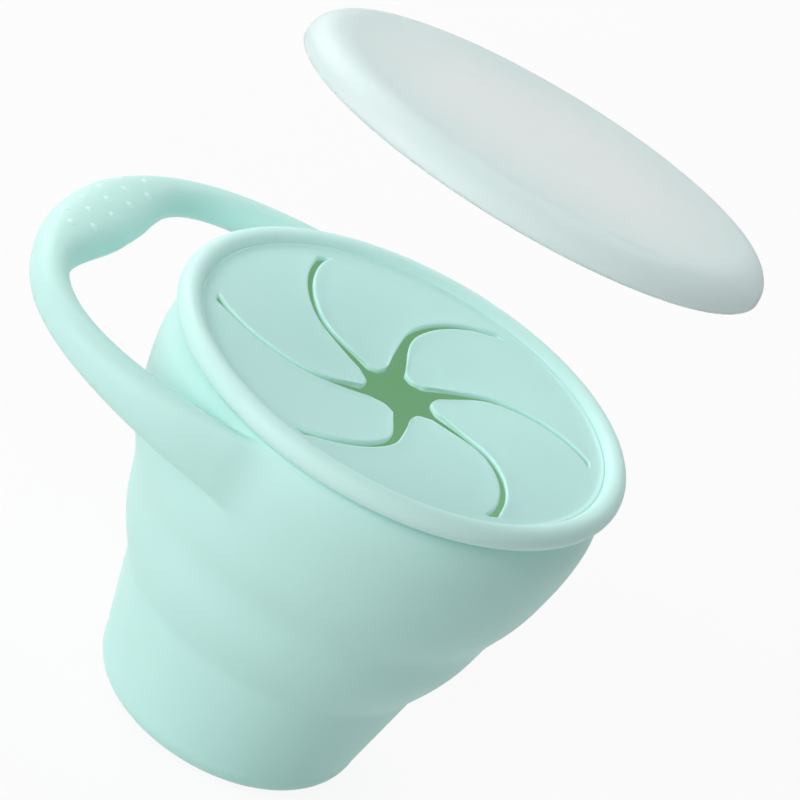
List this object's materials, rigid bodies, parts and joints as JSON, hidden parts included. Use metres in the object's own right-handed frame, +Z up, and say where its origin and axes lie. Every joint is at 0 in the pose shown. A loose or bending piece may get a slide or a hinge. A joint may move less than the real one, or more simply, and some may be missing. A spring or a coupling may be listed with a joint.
{
  "type": "toddler snack container",
  "caption": "Collapsible soft snack cup with a side loop handle, a slit insert of swirled petals in the rim and a loose dust lid.",
  "frame": {"origin": "middle of the foot, on the table plane", "axes": "+Z up along the cup's axis, -X towards the loop handle, +Y to the cup's left seen from the handle"},
  "size_m": [0.1263, 0.1027, 0.1496],
  "materials": {
    "cup_silicone": "soft matte silicone, pale aqua",
    "insert_silicone": "soft matte silicone, pale aqua",
    "frosted_plastic": "frosted translucent plastic"
  },
  "bodies": {
    "base": {"base_tier": "cup_silicone", "lower_fold": "cup_silicone"},
    "middle": {"middle_tier": "cup_silicone", "upper_fold": "cup_silicone"},
    "upper": {"upper_tier": "cup_silicone", "rim_bead": "cup_silicone", "carry_handle": "cup_silicone"},
    "insert": {"flap_ring": "insert_silicone"},
    "petal_1": {"petal_1": "insert_silicone"},
    "petal_2": {"petal_2": "insert_silicone"},
    "petal_3": {"petal_3": "insert_silicone"},
    "petal_4": {"petal_4": "insert_silicone"},
    "petal_5": {"petal_5": "insert_silicone"},
    "petal_6": {"petal_6": "insert_silicone"},
    "lid": {"dust_lid": "frosted_plastic"}
  },
  "joints": [
    {"name": "lower_collapse", "type": "slide", "parent": "base", "child": "middle", "axis": [0, 0, -1], "range_m": [0, 0.028], "deforming": ["lower_fold"]},
    {"name": "upper_collapse", "type": "slide", "parent": "middle", "child": "upper", "axis": [0, 0, -1], "range_m": [0, 0.023], "deforming": ["upper_fold"]},
    {"name": "insert_pull", "type": "slide", "parent": "upper", "child": "insert", "axis": [0, 0, 1], "range_m": [0, 0.012]},
    {"name": "petal_1_bend", "type": "hinge", "parent": "insert", "child": "petal_1", "pos_m": [0.01624, 0.0281, 0.0844], "axis": [-0.679, 0.7341, 0], "range_deg": [-50, 35], "stiffness_Nm_per_rad": 0.01},
    {"name": "petal_2_bend", "type": "hinge", "parent": "insert", "child": "petal_2", "pos_m": [-0.01622, 0.02811, 0.0844], "axis": [-0.9753, -0.221, 0], "range_deg": [-50, 35], "stiffness_Nm_per_rad": 0.01},
    {"name": "petal_3_bend", "type": "hinge", "parent": "insert", "child": "petal_3", "pos_m": [-0.03246, 0.00001, 0.0844], "axis": [-0.2962, -0.9551, 0], "range_deg": [-50, 35], "stiffness_Nm_per_rad": 0.01},
    {"name": "petal_4_bend", "type": "hinge", "parent": "insert", "child": "petal_4", "pos_m": [-0.01624, -0.0281, 0.0844], "axis": [0.679, -0.7341, 0], "range_deg": [-50, 35], "stiffness_Nm_per_rad": 0.01},
    {"name": "petal_5_bend", "type": "hinge", "parent": "insert", "child": "petal_5", "pos_m": [0.01622, -0.02811, 0.0844], "axis": [0.9753, 0.221, 0], "range_deg": [-50, 35], "stiffness_Nm_per_rad": 0.01},
    {"name": "petal_6_bend", "type": "hinge", "parent": "insert", "child": "petal_6", "pos_m": [0.03246, -0.00001, 0.0844], "axis": [0.2962, 0.9551, 0], "range_deg": [-50, 35], "stiffness_Nm_per_rad": 0.01},
    {"name": "lid_lift", "type": "hinge", "parent": "upper", "child": "lid", "pos_m": [0, 0.301, 0.0833], "axis": [-1, 0, 0], "range_deg": [-10.05, 0]}
  ]
}
